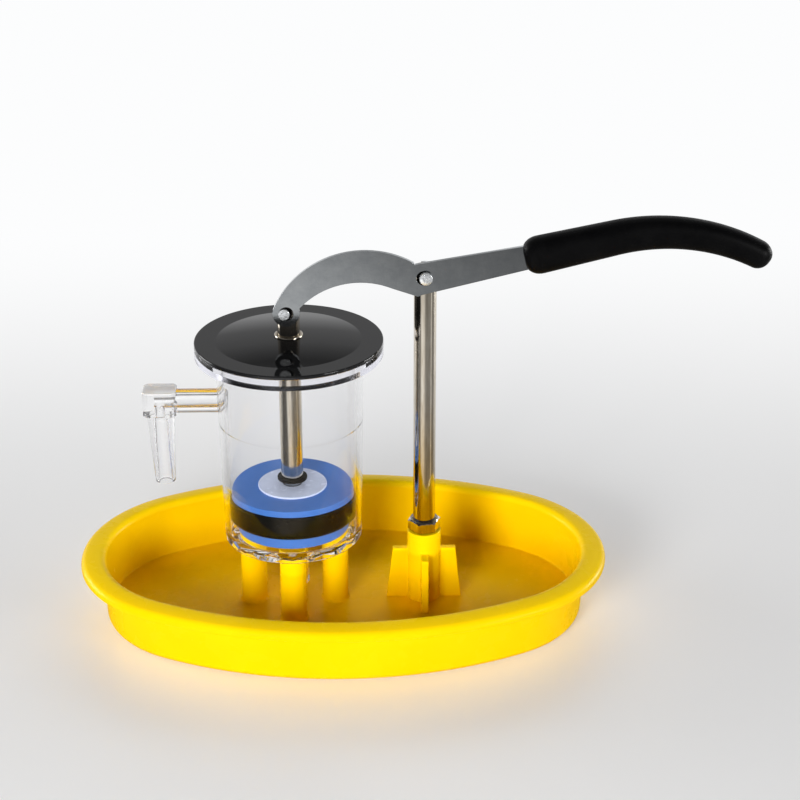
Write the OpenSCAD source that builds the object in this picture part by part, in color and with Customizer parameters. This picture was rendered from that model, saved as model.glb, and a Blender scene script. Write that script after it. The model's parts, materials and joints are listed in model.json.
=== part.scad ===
// Hand pump demonstrator: a clear lift pump on an oval basin, worked by a rocking lever.
// Origin: centre of the basin's underside. X runs along the basin towards the handle,
// Y away from the viewer, Z up. The lever is drawn with its handle raised and the piston down.

/* [Basin] */
// Length over the rim
tray_len = 240.6; // [200:0.1:280]
// Width over the rim
tray_wid = 154; // [140:0.5:190]
// Height to the crest of the rim
tray_h = 31.2; // [26:0.2:44]
// Radius of the rim at the two ends
tray_end_r = 63; // [58:0.5:68]
// Overhang of the rim past the wall
lip_w = 9.5; // [8:0.1:12]
// Thickness of the rim's flare
lip_t = 2.2; // [1.6:0.1:3]
// Thickness of the wall
tray_wall = 2; // [1.5:0.1:3]
// Thickness of the floor
floor_t = 1.8; // [1.2:0.1:3]
// Height of the foot ring under the floor
foot_h = 3.2; // [3:0.1:6]
// Width of the foot ring
foot_w = 3; // [2:0.1:6]
// Radius along the bottom edge
tray_edge_r = 4; // [3:0.1:5]

/* [Posts] */
// Distance of the cylinder's axis to the left of the basin's centre
cyl_off = 22.8; // [15:0.1:30]
// Height of the four posts
post_h = 34.5; // [28:0.1:45]
// Diameter of a post
post_d = 12; // [9:0.1:14]
// Radius of the circle that the posts stand on
post_circle_r = 18.7; // [17.5:0.1:21]
// Diameter of the post screws
post_screw_d = 3; // [2.5:0.1:3.5]
// Head diameter of the post screws
post_head_d = 5.5; // [5:0.1:7]
// Head height of the post screws
post_head_h = 2; // [1.5:0.1:2.4]
// Depth that the post screws reach into the cylinder's base
post_screw_in = 2.2; // [1.5:0.1:2.6]

/* [Cylinder] */
// Height over the flange
barrel_h = 93.8; // [85:0.2:110]
// Outer diameter just under the flange
barrel_top_d = 65.8; // [64:0.1:70]
// Outer diameter at the base
barrel_low_d = 62.3; // [61:0.1:64]
// Bore that the piston slides in
bore_d = 57.3; // [56:0.1:58]
// Step out to the wider bore above the piston's travel
relief_step = 0.55; // [0.3:0.05:1]
// Height of the step between the two bores above the base
relief_h = 56.5; // [54:0.5:58]
// Thickness of the base
base_t = 4; // [3.4:0.1:5]
// Diameter of the flange and of the lid on it
flange_d = 83; // [78:0.1:90]
// Thickness of the flange
flange_t = 5.2; // [4:0.1:7]
// Diameter of the hub under the base
hub_d = 17; // [16:0.1:20]
// Height of the hub under the base
hub_h = 4; // [3:0.1:6]
// Diameter of the foot valve's well
well_d = 12; // [11.4:0.1:13]
// Thickness of the lip that keeps the foot valve in
well_lip = 1.2; // [0.8:0.1:1.6]

/* [Foot valve and inlet] */
// Outer diameter of the inlet nozzle
inlet_d = 13.6; // [13:0.1:15]
// Length of the inlet nozzle below the hub
inlet_len = 21.5; // [15:0.5:24]
// Bore of the inlet nozzle
inlet_bore = 8; // [6:0.1:8.6]
// Diameter of the foot valve's disc
foot_disc_d = 10.4; // [10:0.1:10.8]
// Thickness of both valve discs
valve_t = 1; // [0.8:0.1:1.4]
// Lift of both valve discs
valve_lift = 2; // [1:0.1:2.4]

/* [Lid] */
// Thickness of the lid
lid_t = 1.5; // [1.2:0.1:2.5]
// Rise of the lid's raised middle
dome_h = 1.9; // [1:0.1:4]
// Outer radius of the slope up to the raised middle
dome_low_r = 32; // [28:0.1:38]
// Inner radius of the slope
dome_top_r = 19; // [10:0.1:24]
// Depth of the ring that centres the lid in the bore
spigot_h = 3; // [2:0.1:5]
// Outer diameter of the guide bush's collar
bush_d = 12.6; // [12:0.1:16]
// Height of the collar over the lid
bush_t = 0.7; // [0.5:0.1:1.5]

/* [Spout] */
// Height of the spout's axis above the base of the cylinder
spout_h = 66.2; // [62:0.2:78]
// Outer diameter of the spout pipe
spout_d = 10.8; // [9:0.1:11]
// Bore of the spout
spout_bore = 4.6; // [3:0.1:5]
// Distance from the cylinder's axis to the elbow's axis
spout_reach = 57.8; // [52:0.2:64]
// Length of the elbow block along the pipe
elbow_len = 14.8; // [13:0.1:18]
// Depth of the elbow block
elbow_wid = 12.2; // [11.8:0.1:15]
// Height of the elbow block
elbow_h = 11.6; // [11.4:0.1:14]
// Length of the down nozzle
nozzle_len = 33.5; // [25:0.5:40]
// Diameter of the nozzle at the top
nozzle_top_d = 12.2; // [11:0.1:13]
// Diameter of the nozzle at the tip
nozzle_tip_d = 10.4; // [8:0.1:10.8]

/* [Piston] */
// Diameter of the piston rod
rod_d = 10; // [8:0.1:10.2]
// Diameter of the threaded stud in the rod
stud_d = 6; // [5:0.1:6.2]
// Gap between the piston and the cylinder's base at the bottom of the stroke
piston_gap = 0.9; // [0.5:0.1:2]
// Diameter of the upper disc
top_plate_d = 55; // [50:0.1:55.4]
// Thickness of the upper disc
top_plate_t = 3; // [2:0.1:4]
// Diameter of the lower disc
low_plate_d = 50; // [46:0.1:53]
// Thickness of the lower disc
low_plate_t = 5.8; // [5.4:0.1:7]
// Radial gap between the seal and the bore
seal_gap = 0.25; // [0.2:0.05:0.5]
// Height of the seal
seal_h = 10.9; // [8:0.1:12]
// Bore of the seal
seal_bore = 40; // [36:0.1:44]
// Diameter of the piston's valve disc
piston_disc_d = 31; // [29:0.1:36]
// Diameter of a water port
port_d = 5; // [3:0.1:5.6]
// Radius of the circle of ports
port_circle_r = 10.6; // [9.6:0.1:11]
// Number of ports
port_n = 6; // [4:1:8]
// Diameter of the stop washer over the valve disc
stop_d = 13.4; // [12:0.1:18]
// Thickness of the stop washer
stop_t = 1.5; // [1:0.1:2.5]

/* [Column] */
// Distance between the cylinder's axis and the column's axis
column_gap = 59.7; // [57:0.1:66]
// Outer diameter of the column
column_d = 10; // [9:0.1:10.4]
// Wall of the column
column_wall = 1.2; // [0.8:0.1:1.6]
// Height of the lever's pivot above the lid
pivot_h = 30.7; // [28:0.1:40]
// Height of the column's end above the pivot
column_over = 4; // [3.6:0.1:6]
// Outer diameter of the socket's tube
socket_d = 15.3; // [14:0.1:18]
// Height of the socket above the basin's floor
socket_h = 35; // [32:0.1:42]
// Thickness of the socket's fins
fin_t = 3.3; // [2:0.1:4.5]
// Height of the fins
fin_h = 25.5; // [18:0.5:30]
// Reach of the fins at the floor, from the column's axis
fin_foot_r = 17.3; // [14:0.1:20]
// Reach of the fins at their top, from the column's axis
fin_top_r = 14.4; // [10:0.1:16]
// Width of the lock nut across its flats
lock_nut_af = 13.2; // [13:0.1:17]
// Height of the lock nut
lock_nut_h = 5.8; // [3:0.1:7]

/* [Lever] */
// Thickness of the lever plate
lever_t = 2; // [1.5:0.1:3]
// Drop of the rod pin below the pivot at rest
pin_drop = 16.3; // [15:0.1:17.5]
// Distance of the rod pin to the left of the rod's axis
pin_off = 1.6; // [1:0.1:2]
// Diameter of the rod pin
pin_d = 3.9; // [3.2:0.1:4]
// Play left round the rod pin in the lever's hole, on top of its slide along the arm
pin_play = 0.135; // [0.12:0.005:0.3]
// Diameter of the pivot screw
pivot_d = 4; // [3:0.1:4.4]
// Head diameter of the pivot screw
pivot_head_d = 5.8; // [5.6:0.1:8]
// Radius of the lever's rounded end
lever_end_r = 5.9; // [5.2:0.1:7]
// Radius of the arch's upper edge
arch_out_r = 42.8; // [41:0.1:48]
// Radius of the arch's lower edge
arch_in_r = 35.2; // [34:0.1:38]
// Length of the bare arm from the pivot to the grip
arm_len = 45; // [38:0.5:60]

/* [Grip] */
// Length of the grip's straight front part
grip_straight = 39.5; // [25:0.5:50]
// Radius of the grip's curved rear part
grip_bend_r = 90; // [70:1:120]
// Turn of the grip's curved part in degrees
grip_turn = 44.3; // [30:0.1:46]
// Slope of the grip's straight part in degrees
grip_slope = 12.85; // [11:0.05:16]
// Height of the grip at the front
grip_front_h = 16.6; // [14:0.1:20]
// Height of the grip at the rear
grip_rear_h = 11.8; // [10:0.1:14]
// Width of the grip at the front
grip_front_w = 13.2; // [10:0.1:16]
// Width of the grip at the rear
grip_rear_w = 11.4; // [9:0.1:14]

/* [Hidden] */
$fn = 96;
// Overshoot of a cutting tool past the face that it cuts
cut = 1;
// Radial clearance between pieces that are screwed, glued or pushed together
fixed_gap = 0.1;
// Radial clearance between pieces that slide or turn on each other
slide_gap = 0.2;
// Free height left over a valve disc at the top of its lift
lift_spare = 0.2;

// Basin outline: four arcs that meet tangentially
half_len = tray_len / 2;
half_wid = tray_wid / 2;
end_x = half_len - tray_end_r;
side_r_full = (end_x * end_x + half_wid * half_wid - tray_end_r * tray_end_r)
    / (2 * (half_wid - tray_end_r));
// Distance between the centres of an end arc and a side arc, in whole microns
centre_dist = round(1000 * (side_r_full - tray_end_r)) / 1000;
side_r = centre_dist + tray_end_r;
side_y = side_r - half_wid;
end_half_angle = atan2(side_y, end_x);
quarter_over = 1;
plate_steps = 16;
floor_z = foot_h + floor_t;

// Basin profile, measured inwards from the rim's outermost edge
wall_draft = 1;
lip_edge_in_r = 0.6;
lip_edge_r = lip_t + lip_edge_in_r;
lip_skirt = 0.9;
lip_root_more = 0.2;
lip_chamfer = 1.4;
crown_r = 32;
crest_r = 1.6;
floor_fillet_r = 2.5;
wall_top_u = lip_w;
wall_low_u = lip_w + wall_draft;
foot_in_u = wall_low_u + tray_edge_r + foot_w;
crest_u = wall_top_u + tray_wall - crest_r;
crown_angle = asin((crest_u - lip_edge_r) / (crown_r - lip_edge_r));
lip_edge_z = tray_h - crown_r + (crown_r - lip_edge_r) * cos(crown_angle);
lip_under_z = tray_h - lip_t - lip_root_more;
arc_steps = 6;
crown_steps = 3;
oval_fn = 240;
// Stiffening ribs across the underside, level with the foot ring
rib_pitch = 62;
rib_w = 2;

// Post screws: depth of the driver's socket and room past the screw's end
driver_in = 1.2;
screw_end_gap = 0.4;

// Tower levels
cyl_x = -cyl_off;
column_x = cyl_x + column_gap;
base_z = floor_z + post_h;
bore_floor_z = base_z + base_t;
flange_top_z = base_z + barrel_h;
flange_low_z = flange_top_z - flange_t;
lid_z = flange_top_z + lid_t;
relief_d = bore_d + 2 * relief_step;
relief_z = base_z + relief_h;
spout_z = base_z + spout_h;
hub_z = base_z - hub_h;
well_top_z = bore_floor_z - well_lip;
foot_seat_z = well_top_z - valve_lift - lift_spare - valve_t;
well_lip_w = 1.5;
well_mouth_d = well_d - 2 * well_lip_w;
inlet_z = hub_z - inlet_len;
socket_top_z = floor_z + socket_h;

// Lid and its guide bush
spigot_r = relief_d / 2 - fixed_gap;
spigot_w = 2;
lid_chamfer = 0.3;
lid_slope_more = 0.2;
slope_in_r = spigot_r - spigot_w;
slope_rise = dome_h * (dome_low_r - slope_in_r) / (dome_low_r - dome_top_r);
slope_in_z = flange_top_z + max(0, slope_rise - lid_slope_more);
dome_z = lid_z + dome_h;
bush_wall = 0.7;
bush_neck_r = rod_d / 2 + slide_gap + bush_wall;
bush_below = 1;

// Spout
pipe_recess = 0.6;
pipe_in_x = cyl_x - relief_d / 2 - pipe_recess;
elbow_x = cyl_x - spout_reach;
elbow_right_x = elbow_x + elbow_len / 2;
elbow_low_z = spout_z - elbow_h / 2;
elbow_chamfer = 1.8;
spigot_wall = 1.7;
spout_spigot_d = spout_bore + 2 * spigot_wall;
spout_spigot_len = 4;
nozzle_spigot_len = 1.5;
nozzle_rim_t = 1.3;
nozzle_rim_w = 0.8;

// Foot of the column, under the floor
base_washer_t = 0.6;
base_washer_w = 4;
base_nut_h = 2;
base_nut_z = foot_h - base_washer_t - base_nut_h;
nut_over = 4;
thread_out = 0.2;
column_low_z = base_nut_z - thread_out;
lock_nut_turn = 8.8;

// Piston stack, from its underside upwards
piston_z = bore_floor_z + piston_gap;
seal_z = piston_z + low_plate_t;
top_plate_z = seal_z + seal_h;
valve_seat_z = top_plate_z + top_plate_t;
spacer_h = valve_t + valve_lift + lift_spare;
stop_z = valve_seat_z + spacer_h;
rod_z = stop_z + stop_t;
spacer_wall = 0.9;
spacer_d = stud_d + 2 * fixed_gap + 2 * spacer_wall;
hub_web_t = 1.6;
recess_z = seal_z - hub_web_t;
recess_rim = 0.3;
recess_d = 2 * port_circle_r + port_d + 2 * recess_rim;
piston_washer_t = 0.6;
piston_washer_w = 3;
piston_nut_h = 3;
piston_nut_z = recess_z - piston_washer_t - piston_nut_h;
stud_in = 12;
stud_end_gap = 0.5;
seal_d = bore_d - 2 * seal_gap;
seal_chamfer = 0.8;

// Lever and pivots
pivot_z = lid_z + pivot_h;
column_top_z = pivot_z + column_over;
pin_x = cyl_x - pin_off;
pin_z = pivot_z - pin_drop;
rod_top_over = 2.8;
rod_top_z = pin_z + rod_top_over;
rod_chamfer = 0.6;
tube_front = max(column_d, rod_d) / 2;
plate_gap = 0.5;
plate_back_y = -(tube_front + plate_gap);
plate_mid_y = plate_back_y - lever_t / 2;
pin_reach = column_gap + pin_off;
pin_r = norm([pin_reach, pin_drop]);
// The pin slides along the arm as the lever turns: the hole's middle is half way of that slide
hole_shift = (pin_r - pin_reach) / 2;
pin_hole_d = pin_d + 2 * (hole_shift + pin_play);
hole_r_from_pivot = pin_r - hole_shift;
hole_c = -hole_r_from_pivot * [pin_reach, pin_drop] / pin_r;
pin_out = 0.6;
pin_recess = 0.4;
pin_chamfer = 0.4;
pivot_washer_w = 2;
pivot_washer_play = 0.1;
pivot_head_h = 1.8;
pivot_nut_h = 3;
pivot_nut_over = 3;
pivot_thread_out = 0.8;

// Lever outline, in the lever's own plane with the pivot at its origin: the arch's two arcs run
// from the rounded end to where the plate round the pivot begins
arch_end_dir = 160;
arch_end = hole_c + lever_end_r * [cos(arch_end_dir), sin(arch_end_dir)];
arch_in_dir = 16;
arch_in_sunk = 0.8;
arch_in_start = hole_c + (lever_end_r - arch_in_sunk) * [cos(arch_in_dir), sin(arch_in_dir)];
arch_meet = [-5.1, 6.7];
arch_in_meet = [-14.4, -4.8];
hub_low = [[-3.4, -8.6], [-1.4, -7.8]];
arm_top_step = [0.8, -0.7];
arm_top = arch_meet + arm_top_step;
root_top_step = [-4, -3];
arm_root_top = arch_meet + root_top_step;
root_low_step = [2, 2];
arm_root_low = arch_in_meet + root_low_step;
hub_right_step = [8, -6];
hub_right = arch_meet + hub_right_step;
along = [cos(grip_slope), sin(grip_slope)];
across = [-sin(grip_slope), cos(grip_slope)];
arm_end_drop = 1.2;
arm_end_c = arm_len * along - [0, arm_end_drop];
arm_end_share = 0.32;
arm_end_half = arm_end_share * grip_front_h;
arm_in_grip = 1.8;
lever_fn = 180;

// Centre line of the grip: a straight front and a curved rear
grip_start = arm_end_c - arm_in_grip * along;
grip_bend_len = grip_bend_r * grip_turn * PI / 180;
grip_len = grip_straight + grip_bend_len;
bend_start = grip_start + grip_straight * along;
bend_c = bend_start - grip_bend_r * across;
// Rounding of the grip's two ends, and the squareness of its section
grip_nose = 5;
grip_nose_share = 0.72;
grip_tail = 6;
grip_tip_share = 0.14;
grip_square = 2.6;
grip_end_steps = 6;
grip_rings = 30;
grip_sides = 28;
// The tang inside the grip
tang_half = 3;
tang_short = 12;
tang_lead = 3;
tang_steps = 12;

tray_yellow = "#F5D800";
clear_tint = [0.9, 0.92, 0.97, 0.4];
steel = "#B9BBBF";
nickel = "#C9C4BA";
black = "#1B1B1D";
blue = "#5B82C8";
lavender = "#D9D8F0";

// Points of an arc about c, in n steps
function arc_pts(c, r, a0, a1, n) = [
    for (i = [0:n]) let (a = a0 + (a1 - a0) * i / n) c + r * [cos(a), sin(a)]
];

// Points of an arc after its first one
function arc_rest(c, r, a0, a1, n) = [
    for (i = [1:n]) let (a = a0 + (a1 - a0) * i / n) c + r * [cos(a), sin(a)]
];

// Cross-section of the basin's wall and rim: x is minus the distance inwards from the rim's edge
function wall_profile() = concat(
    [[-foot_in_u, 0]],
    arc_pts([-wall_low_u - tray_edge_r, tray_edge_r], tray_edge_r, -90, 0, arc_steps),
    [[-wall_top_u, lip_under_z - lip_chamfer],
     [-wall_top_u + lip_chamfer, lip_under_z]],
    arc_pts([-lip_edge_r, lip_edge_z], lip_edge_in_r, 90 - crown_angle, 0, crown_steps),
    [[-lip_t, lip_edge_z - lip_skirt], [0, lip_edge_z - lip_skirt]],
    arc_pts([-lip_edge_r, lip_edge_z], lip_edge_r, 0, 90 - crown_angle, arc_steps),
    arc_rest([-crest_u, tray_h - crown_r], crown_r, 90 - crown_angle, 90, crown_steps),
    arc_rest([-crest_u, tray_h - crest_r], crest_r, 90, 180, arc_steps),
    arc_pts([-wall_low_u - tray_wall - floor_fillet_r, floor_z + floor_fillet_r], floor_fillet_r,
            0, -90, arc_steps),
    [[-foot_in_u, floor_z]]
);

// A quarter of the oval ring. Both arcs start at the section that they share, so that they meet
// exactly; each runs past the quarter's edge and is cut off there.
module oval_quarter() {
    intersection() {
        translate([end_x, 0, 0])
            rotate([0, 0, end_half_angle]) {
                mirror([0, 1, 0])
                    rotate_extrude(angle = end_half_angle + quarter_over, $fn = oval_fn)
                        translate([tray_end_r, 0]) children();
                translate([-centre_dist, 0, 0])
                    rotate_extrude(angle = 90 - end_half_angle + quarter_over, $fn = oval_fn)
                        translate([side_r, 0]) children();
            }
        translate([0, 0, -cut]) cube([half_len + cut, half_wid + cut, tray_h + 2 * cut]);
    }
}

// The profile carried round the whole oval
module oval_ring() {
    for (mx = [0, 1])
        for (my = [0, 1])
            mirror([mx, 0, 0]) mirror([0, my, 0]) oval_quarter() children();
}

// A flat plate with the oval's outline, inset from the rim's edge
module oval_plate(inset, z, h) {
    quarter = concat(
        arc_pts([end_x, 0], tray_end_r - inset, 0, end_half_angle, plate_steps),
        arc_rest([0, -side_y], side_r - inset, end_half_angle, 90, plate_steps)
    );
    n = len(quarter) - 1;
    translate([0, 0, z])
        linear_extrude(h)
            polygon(concat(
                quarter,
                [for (i = [n - 1:-1:0]) [-quarter[i].x, quarter[i].y]],
                [for (i = [1:n]) [-quarter[i].x, -quarter[i].y]],
                [for (i = [n - 1:-1:1]) [quarter[i].x, -quarter[i].y]]
            ));
}

// A hole along Z
module hole(d, z0, z1) {
    translate([0, 0, z0]) cylinder(d = d, h = z1 - z0);
}

// A ring along Z
module ring(od, id, z0, z1) {
    difference() {
        hole(od, z0, z1);
        hole(id, z0 - cut, z1 + cut);
    }
}

// Hexagonal prism along Z with a round hole
module hex_nut(af, h, id) {
    difference() {
        cylinder(d = af / cos(30), h = h, $fn = 6);
        hole(id, -cut, h + cut);
    }
}

// Puts its children at each of the four posts
module at_posts() {
    for (a = [0:90:270])
        translate([cyl_x, 0, 0]) rotate([0, 0, a]) translate([post_circle_r, 0, 0]) children();
}

// The round ports of a piston disc, through from z0 to z1
module ports(z0, z1) {
    for (i = [0:port_n - 1])
        rotate([0, 0, 360 * i / port_n]) translate([port_circle_r, 0, 0]) hole(port_d, z0, z1);
}

// Draws children with their own X and Y upright in the lever's plane, with the front at y
module upright(y) {
    translate([column_x, y, pivot_z]) rotate([90, 0, 0]) children();
}

module tray() {
    color(tray_yellow)
    difference() {
        union() {
            oval_ring() polygon(wall_profile());
            oval_plate(foot_in_u - foot_w / 2, foot_h, floor_t);
            difference() {
                intersection() {
                    oval_plate(foot_in_u - foot_w / 2, 0, foot_h + floor_t / 2);
                    for (x = [-rib_pitch, 0, rib_pitch])
                        translate([x - rib_w / 2, -half_wid, 0])
                            cube([rib_w, tray_wid, foot_h + floor_t / 2]);
                }
                at_posts() hole(post_head_d + 2 * slide_gap, -cut, foot_h);
                translate([column_x, 0, 0])
                    hole(column_d + 2 * base_washer_w + 2 * slide_gap, -cut, foot_h);
            }
        }
        at_posts() hole(post_screw_d + 2 * slide_gap, -cut, floor_z + cut);
        translate([column_x, 0, 0]) hole(column_d + 2 * fixed_gap, -cut, floor_z + cut);
    }
}

module cylinder_posts() {
    color(tray_yellow)
    at_posts() ring(post_d, post_screw_d + 2 * slide_gap, floor_z, base_z);
}

module post_screws() {
    color(steel)
    at_posts() {
        hole(post_screw_d, foot_h, base_z + post_screw_in);
        difference() {
            hole(post_head_d, foot_h - post_head_h, foot_h);
            translate([0, 0, foot_h - post_head_h - cut])
                cylinder(d = post_screw_d, h = cut + driver_in, $fn = 6);
        }
    }
}

module column_socket() {
    color(tray_yellow)
    translate([column_x, 0, 0])
    difference() {
        union() {
            hole(socket_d, floor_z, socket_top_z);
            for (a = [0:90:270])
                rotate([90, 0, a])
                    translate([0, 0, -fin_t / 2])
                        linear_extrude(fin_t)
                            polygon([[0, floor_z], [fin_foot_r, floor_z],
                                     [fin_top_r, floor_z + fin_h], [0, floor_z + fin_h]]);
        }
        hole(column_d + 2 * fixed_gap, floor_z - cut, socket_top_z + cut);
    }
}

module column_tube() {
    color(nickel)
    translate([column_x, 0, 0])
    difference() {
        ring(column_d, column_d - 2 * column_wall, column_low_z, column_top_z);
        translate([0, 0, pivot_z]) rotate([90, 0, 0])
            cylinder(d = pivot_d + 2 * fixed_gap, h = 2 * column_d, center = true);
    }
}

module column_lock_nut() {
    color(steel)
    translate([column_x, 0, socket_top_z]) rotate([0, 0, lock_nut_turn])
        hex_nut(lock_nut_af, lock_nut_h, column_d + 2 * fixed_gap);
}

module column_base_nut() {
    color(steel)
    translate([column_x, 0, base_nut_z])
        hex_nut(column_d + nut_over, base_nut_h, column_d + 2 * fixed_gap);
}

module column_base_washer() {
    color(steel)
    translate([column_x, 0, 0])
        ring(column_d + 2 * base_washer_w, column_d + 2 * fixed_gap, foot_h - base_washer_t, foot_h);
}

module cylinder_barrel() {
    color(clear_tint)
    difference() {
        translate([cyl_x, 0, 0])
        difference() {
            union() {
                translate([0, 0, base_z])
                    cylinder(d1 = barrel_low_d, d2 = barrel_top_d, h = flange_low_z - base_z);
                hole(flange_d, flange_low_z, flange_top_z);
                hole(hub_d, hub_z, base_z + cut);
            }
            hole(bore_d, bore_floor_z, flange_top_z + cut);
            hole(relief_d, relief_z, flange_top_z + cut);
            hole(well_mouth_d, bore_floor_z - cut - well_lip, bore_floor_z + cut);
            hole(well_d, hub_z - cut, well_top_z);
            translate([0, 0, spout_z]) rotate([0, -90, 0])
                hole(spout_d + 2 * fixed_gap, bore_d / 2 - cut, flange_d / 2);
        }
        at_posts() hole(post_screw_d + 2 * fixed_gap, base_z - cut, base_z + post_screw_in + screw_end_gap);
    }
}

module inlet_nozzle() {
    color(clear_tint)
    translate([cyl_x, 0, 0])
    difference() {
        union() {
            hole(inlet_d, inlet_z, hub_z);
            hole(well_d - 2 * fixed_gap, hub_z - cut, foot_seat_z);
        }
        hole(inlet_bore, inlet_z - cut, foot_seat_z + cut);
    }
}

module foot_valve_disc() {
    color(lavender)
    translate([cyl_x, 0, 0]) hole(foot_disc_d, foot_seat_z, foot_seat_z + valve_t);
}

module lid() {
    color(black)
    translate([cyl_x, 0, 0])
    rotate_extrude()
        polygon([
            [bush_neck_r + fixed_gap, dome_z - lid_t],
            [dome_top_r, dome_z - lid_t],
            [slope_in_r, slope_in_z],
            [slope_in_r, flange_top_z - spigot_h],
            [spigot_r, flange_top_z - spigot_h],
            [spigot_r, flange_top_z],
            [flange_d / 2, flange_top_z],
            [flange_d / 2, lid_z - lid_chamfer],
            [flange_d / 2 - lid_chamfer, lid_z],
            [dome_low_r, lid_z],
            [dome_top_r, dome_z],
            [bush_neck_r + fixed_gap, dome_z]
        ]);
}

module lid_bush() {
    color(nickel)
    translate([cyl_x, 0, 0])
    difference() {
        union() {
            hole(2 * bush_neck_r, dome_z - lid_t - bush_below, dome_z);
            hole(bush_d, dome_z, dome_z + bush_t);
        }
        hole(rod_d + 2 * slide_gap, dome_z - lid_t - bush_below - cut, dome_z + bush_t + cut);
    }
}

module spout_pipe() {
    color(clear_tint)
    translate([0, 0, spout_z]) rotate([0, 90, 0])
    difference() {
        union() {
            hole(spout_d, elbow_right_x, pipe_in_x);
            hole(spout_spigot_d, elbow_right_x - spout_spigot_len, elbow_right_x + cut);
        }
        hole(spout_bore, elbow_right_x - spout_spigot_len - cut, pipe_in_x + cut);
    }
}

module spout_elbow() {
    color(clear_tint)
    translate([elbow_x, 0, 0])
    difference() {
        translate([0, 0, elbow_low_z])
            linear_extrude(elbow_h)
                polygon([
                    for (q = [[1, 1], [-1, 1], [-1, -1], [1, -1]])
                        for (k = (q.x * q.y > 0) ? [0, 1] : [1, 0])
                            [q.x * (elbow_len / 2 - elbow_chamfer * k),
                             q.y * (elbow_wid / 2 - elbow_chamfer * (1 - k))]
                ]);
        translate([0, 0, spout_z]) rotate([0, 90, 0]) {
            hole(spout_spigot_d + 2 * fixed_gap, elbow_len / 2 - spout_spigot_len - fixed_gap, elbow_len);
            hole(spout_bore, 0, elbow_len);
        }
        hole(spout_bore, elbow_low_z - cut, spout_z);
        hole(spout_spigot_d + 2 * fixed_gap, elbow_low_z - cut, elbow_low_z + nozzle_spigot_len + fixed_gap);
    }
}

module spout_nozzle() {
    color(clear_tint)
    translate([elbow_x, 0, elbow_low_z])
    difference() {
        union() {
            hole(spout_spigot_d, -cut, nozzle_spigot_len);
            hole(nozzle_top_d + 2 * nozzle_rim_w, -nozzle_rim_t, 0);
            translate([0, 0, -nozzle_len])
                cylinder(d1 = nozzle_tip_d, d2 = nozzle_top_d, h = nozzle_len);
        }
        hole(spout_bore, -nozzle_len - cut, nozzle_spigot_len + cut);
    }
}

module piston_rod() {
    color(nickel)
    translate([cyl_x, 0, 0])
    difference() {
        union() {
            hole(rod_d, rod_z, rod_top_z - rod_chamfer);
            translate([0, 0, rod_top_z - rod_chamfer])
                cylinder(d1 = rod_d, d2 = rod_d - 2 * rod_chamfer, h = rod_chamfer);
        }
        hole(stud_d + 2 * fixed_gap, rod_z - cut, rod_z + stud_in);
        translate([-pin_off, 0, pin_z]) rotate([90, 0, 0])
            cylinder(d = pin_d + 2 * fixed_gap, h = 2 * rod_d, center = true);
    }
}

module rod_pin() {
    pin_front = -plate_back_y + lever_t + pin_out;
    pin_back = rod_d / 2 - pin_recess;
    color(steel)
    translate([pin_x, 0, pin_z]) rotate([90, 0, 0]) {
        hole(pin_d, -pin_back, pin_front - pin_chamfer);
        translate([0, 0, pin_front - pin_chamfer])
            cylinder(d1 = pin_d, d2 = pin_d - 2 * pin_chamfer, h = pin_chamfer);
    }
}

module rod_stud() {
    color(steel)
    translate([cyl_x, 0, 0]) hole(stud_d, piston_nut_z - thread_out, rod_z + stud_in - stud_end_gap);
}

module valve_stop_washer() {
    color(black)
    translate([cyl_x, 0, 0]) ring(stop_d, stud_d + 2 * fixed_gap, stop_z, rod_z);
}

module valve_spacer() {
    color(steel)
    translate([cyl_x, 0, 0]) ring(spacer_d, stud_d + 2 * fixed_gap, valve_seat_z, stop_z);
}

module piston_valve_disc() {
    color(lavender)
    translate([cyl_x, 0, 0])
        ring(piston_disc_d, spacer_d + 2 * slide_gap, valve_seat_z, valve_seat_z + valve_t);
}

module piston_top_plate() {
    color(blue)
    translate([cyl_x, 0, 0])
    difference() {
        ring(top_plate_d, stud_d + 2 * fixed_gap, top_plate_z, valve_seat_z);
        ports(top_plate_z - cut, valve_seat_z + cut);
    }
}

module piston_seal() {
    color(black)
    translate([cyl_x, 0, 0])
    rotate_extrude()
        polygon([
            [seal_bore / 2, seal_z],
            [seal_d / 2 - seal_chamfer, seal_z],
            [seal_d / 2, seal_z + 2 * seal_chamfer],
            [seal_d / 2, top_plate_z],
            [seal_bore / 2, top_plate_z]
        ]);
}

module piston_lower_plate() {
    color(blue)
    translate([cyl_x, 0, 0])
    difference() {
        union() {
            hole(low_plate_d, piston_z, seal_z);
            hole(seal_bore - 2 * fixed_gap, seal_z - cut, top_plate_z);
        }
        hole(stud_d + 2 * fixed_gap, piston_z - cut, top_plate_z + cut);
        hole(recess_d, piston_z - cut, recess_z);
        ports(recess_z - cut, top_plate_z + cut);
    }
}

module piston_washer() {
    color(steel)
    translate([cyl_x, 0, 0])
        ring(stud_d + 2 * piston_washer_w, stud_d + 2 * fixed_gap, recess_z - piston_washer_t, recess_z);
}

module piston_nut() {
    color(steel)
    translate([cyl_x, 0, piston_nut_z])
        hex_nut(stud_d + nut_over, piston_nut_h, stud_d + 2 * fixed_gap);
}

// Centre of the circle of radius r through p and q that lies below them
function arc_centre(p, q, r) =
    let (m = (p + q) / 2, d = q - p, l = norm(d), h = sqrt(r * r - l * l / 4))
    m + h * [d.y, -d.x] / l;

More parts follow.
